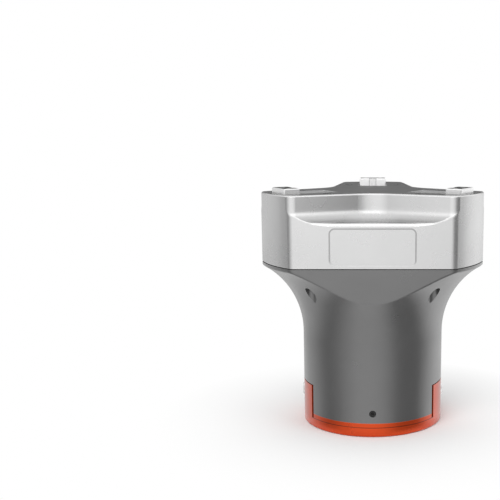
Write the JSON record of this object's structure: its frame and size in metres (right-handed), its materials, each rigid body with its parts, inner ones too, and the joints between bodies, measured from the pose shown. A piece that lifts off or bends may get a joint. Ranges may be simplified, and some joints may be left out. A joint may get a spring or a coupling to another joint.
{
  "type": "electric three jaw gripper",
  "caption": "Electric centric gripper with a round neck on an orange flange and a lobed silver head whose jaws slide inwards in radial slots.",
  "frame": {"origin": "centre of the mounting face on the underside of the orange ring", "axes": "+Z from the wrist to the jaws, -Y towards the front face, +Y towards the connector"},
  "size_m": [0.115, 0.1027, 0.1271],
  "materials": {
    "cast_silver": "fine bead blasted, clear anodised",
    "grey_shell": "grey anodised satin",
    "deck_grey": "grey anodised satin",
    "orange_anodised": "orange anodised satin",
    "bright_steel": "ground bright",
    "black_steel": "black oxide",
    "ground_steel": "ground",
    "cap_green": "moulded",
    "gasket": "matte",
    "motor_alloy": "turned",
    "laminations": "stacked sheet",
    "copper": "enamelled wire",
    "magnet": "nickel plated",
    "board": "solder mask",
    "spacer_brass": "turned",
    "connector_metal": "nickel plated",
    "insulator": "moulded"
  },
  "bodies": {
    "base": {"adapter_side_screws": "bright_steel", "base_flange": "orange_anodised", "bearing_outer_rings": "ground_steel", "board_standoffs": "spacer_brass", "connector_insert": "insulator", "connector_nut": "connector_metal", "connector_socket": "connector_metal", "control_board": "board", "encoder_board": "board", "gearbox_front": "motor_alloy", "gearbox_mount_screws": "black_steel", "gearbox_screws": "black_steel", "guide_rail_1": "ground_steel", "guide_rail_2": "ground_steel", "guide_rail_3": "ground_steel", "head_housing": "cast_silver", "motor_can": "motor_alloy", "motor_cap": "motor_alloy", "mount_adapter": "orange_anodised", "neck_screws": "black_steel", "neck_shell": "grey_shell", "rail_screws_1": "black_steel", "rail_screws_2": "black_steel", "rail_screws_3": "black_steel", "ring_gear": "ground_steel", "seam_gasket": "gasket", "shell_set_screws": "black_steel", "stator_core": "laminations", "stator_windings": "copper", "top_plate": "deck_grey", "top_plate_screws": "black_steel"},
    "rotor": {"rotor_shaft": "ground_steel", "rotor_magnets": "magnet", "sun_gear": "ground_steel", "encoder_magnet": "magnet", "motor_bearing_inner_rings": "ground_steel"},
    "output": {"planet_carrier": "ground_steel", "planet_pins": "ground_steel", "output_pinion": "ground_steel", "output_bearing_inner_rings": "ground_steel"},
    "planet_1": {"planet_gear_1": "ground_steel"},
    "planet_2": {"planet_gear_2": "ground_steel"},
    "planet_3": {"planet_gear_3": "ground_steel"},
    "jaw_1": {"carriage_1": "ground_steel", "carriage_caps_1": "cap_green", "carriage_screws_1": "black_steel", "rack_1": "ground_steel", "jaw_1": "bright_steel"},
    "jaw_2": {"carriage_2": "ground_steel", "carriage_caps_2": "cap_green", "carriage_screws_2": "black_steel", "rack_2": "ground_steel", "jaw_2": "bright_steel"},
    "jaw_3": {"carriage_3": "ground_steel", "carriage_caps_3": "cap_green", "carriage_screws_3": "black_steel", "rack_3": "ground_steel", "jaw_3": "bright_steel"}
  },
  "joints": [
    {"name": "motor_spin", "type": "hinge", "parent": "base", "child": "rotor", "pos_m": [0, 0, 0.06], "axis": [0, 0, 1], "range_deg": [0, 318.3]},
    {"name": "output_spin", "type": "hinge", "parent": "base", "child": "output", "pos_m": [0, 0, 0.09], "axis": [0, 0, 1], "range_deg": [0, 79.6]},
    {"name": "planet_1_spin", "type": "hinge", "parent": "output", "child": "planet_1", "pos_m": [0.012, 0, 0.082], "axis": [0, 0, 1], "range_deg": [-239, 0]},
    {"name": "planet_2_spin", "type": "hinge", "parent": "output", "child": "planet_2", "pos_m": [-0.006, 0.01039, 0.082], "axis": [0, 0, 1], "range_deg": [-239, 0]},
    {"name": "planet_3_spin", "type": "hinge", "parent": "output", "child": "planet_3", "pos_m": [-0.006, -0.01039, 0.082], "axis": [0, 0, 1], "range_deg": [-239, 0]},
    {"name": "jaw_1_slide", "type": "slide", "parent": "base", "child": "jaw_1", "axis": [0, -1, 0], "range_m": [0, 0.01]},
    {"name": "jaw_2_slide", "type": "slide", "parent": "base", "child": "jaw_2", "axis": [0.866, 0.5, 0], "range_m": [0, 0.01]},
    {"name": "jaw_3_slide", "type": "slide", "parent": "base", "child": "jaw_3", "axis": [-0.866, 0.5, 0], "range_m": [0, 0.01]}
  ],
  "couplings": [
    {"joint": "output_spin", "follows": "motor_spin", "ratio": 0.25},
    {"joint": "planet_1_spin", "follows": "motor_spin", "ratio": -0.75},
    {"joint": "planet_2_spin", "follows": "motor_spin", "ratio": -0.75},
    {"joint": "planet_3_spin", "follows": "motor_spin", "ratio": -0.75},
    {"joint": "jaw_1_slide", "follows": "motor_spin", "m_per_rad": 0.0018},
    {"joint": "jaw_2_slide", "follows": "motor_spin", "m_per_rad": 0.0018},
    {"joint": "jaw_3_slide", "follows": "motor_spin", "m_per_rad": 0.0018}
  ]
}
